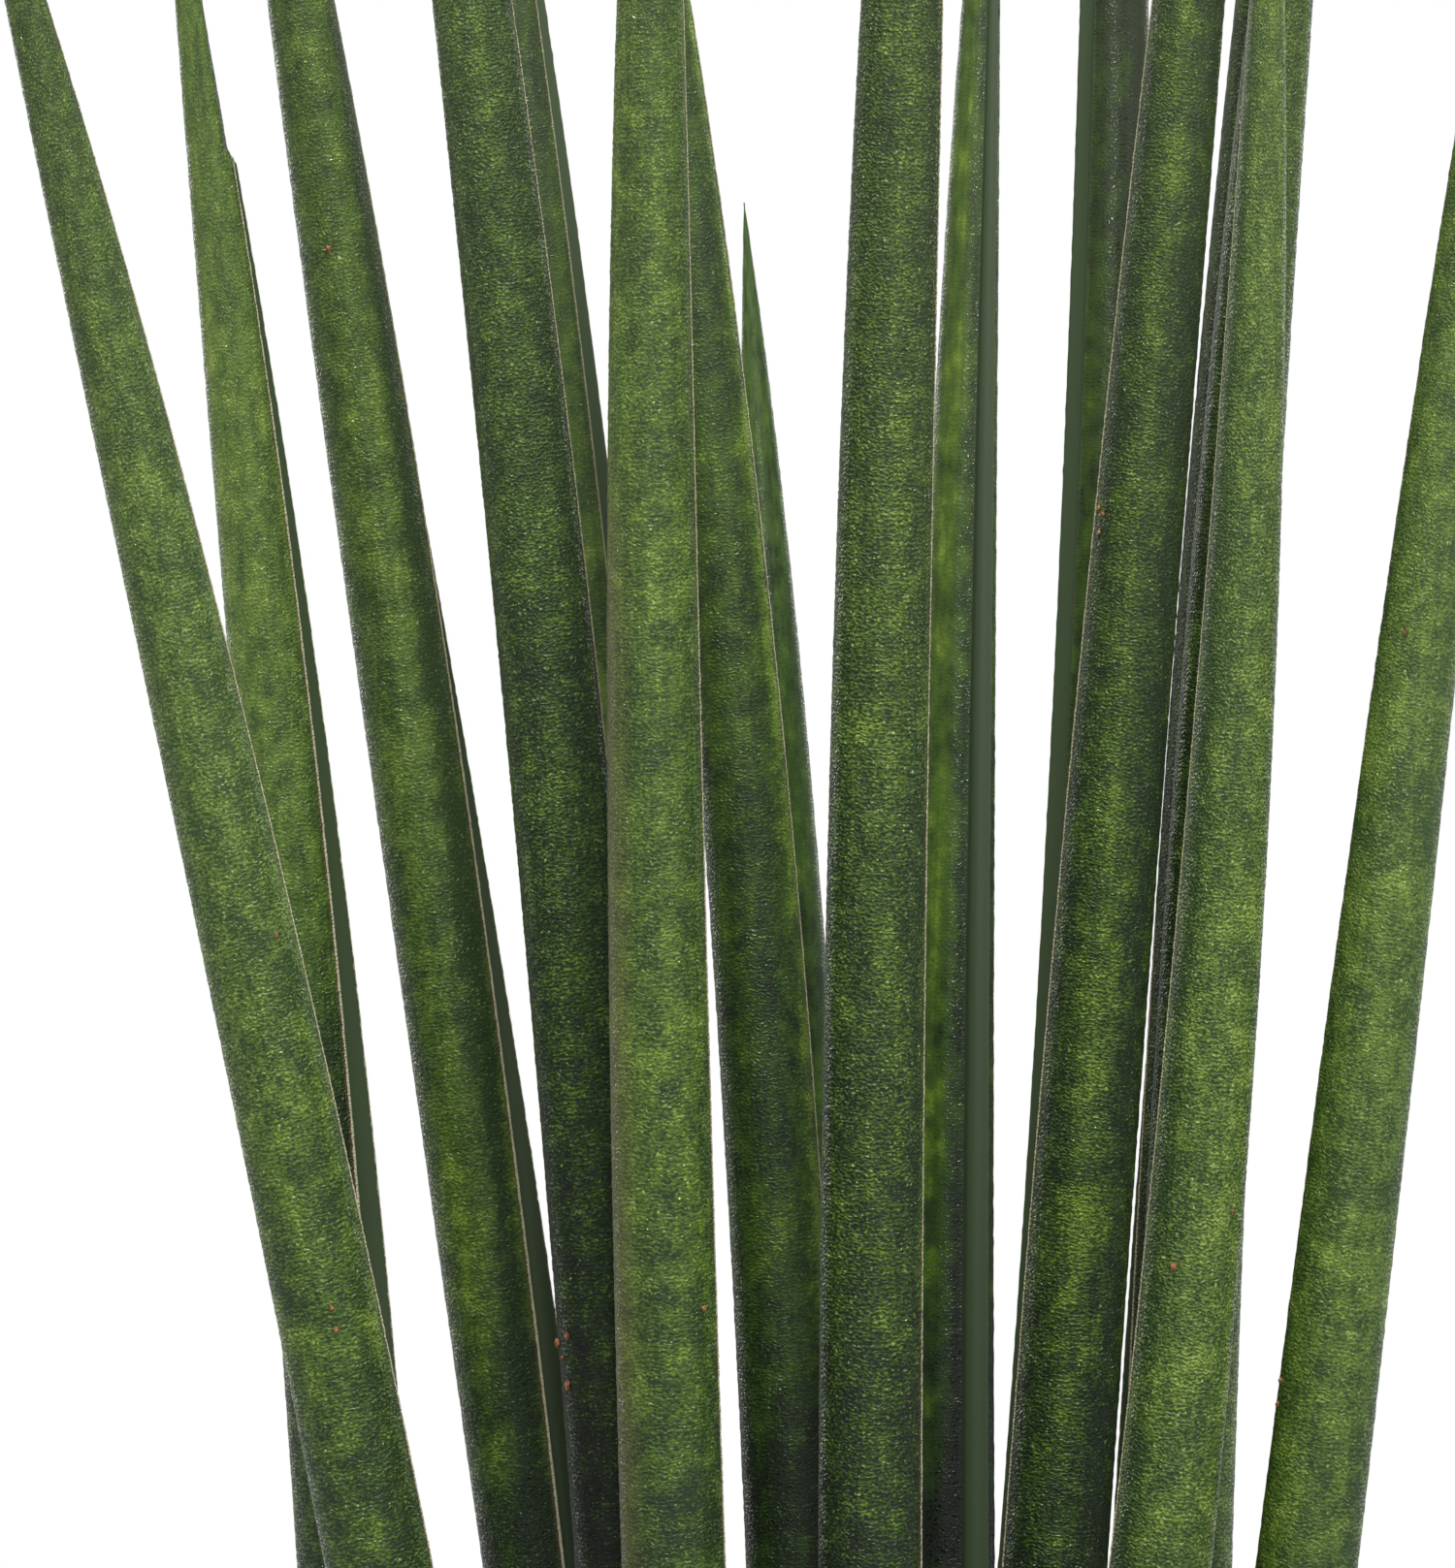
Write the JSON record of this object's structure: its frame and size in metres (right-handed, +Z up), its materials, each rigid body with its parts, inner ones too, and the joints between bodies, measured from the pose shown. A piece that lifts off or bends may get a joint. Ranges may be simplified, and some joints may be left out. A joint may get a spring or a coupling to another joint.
{
  "type": "potted mikado snake plant",
  "caption": "Potted mikado snake plant: sixteen tall, nearly round, grooved green spear leaves and five short young ones in a plain round clay pot of dark soil.",
  "frame": {"origin": "centre of the flat base of the pot, on the surface that the pot stands on", "axes": "+Z up along the pot's axis; the front of the plant, as in the picture, faces -Y; +X to the right"},
  "size_m": [0.1718, 0.1334, 0.513],
  "materials": {
    "clay": "matte",
    "soil": "matte",
    "leaf": "satin",
    "young_leaf": "satin"
  },
  "bodies": {
    "root": {"pot": "clay", "soil": "soil", "leaf_01": "leaf", "leaf_02": "leaf", "leaf_03": "leaf", "leaf_04": "leaf", "leaf_05": "leaf", "leaf_06": "leaf", "leaf_07": "leaf", "leaf_08": "leaf", "leaf_09": "leaf", "leaf_10": "leaf", "leaf_11": "leaf", "leaf_12": "leaf", "leaf_13": "leaf", "leaf_14": "leaf", "leaf_15": "leaf", "leaf_16": "leaf", "young_leaf_1": "young_leaf", "young_leaf_2": "young_leaf", "young_leaf_3": "young_leaf", "young_leaf_4": "young_leaf", "young_leaf_5": "young_leaf"}
  },
  "joints": []
}
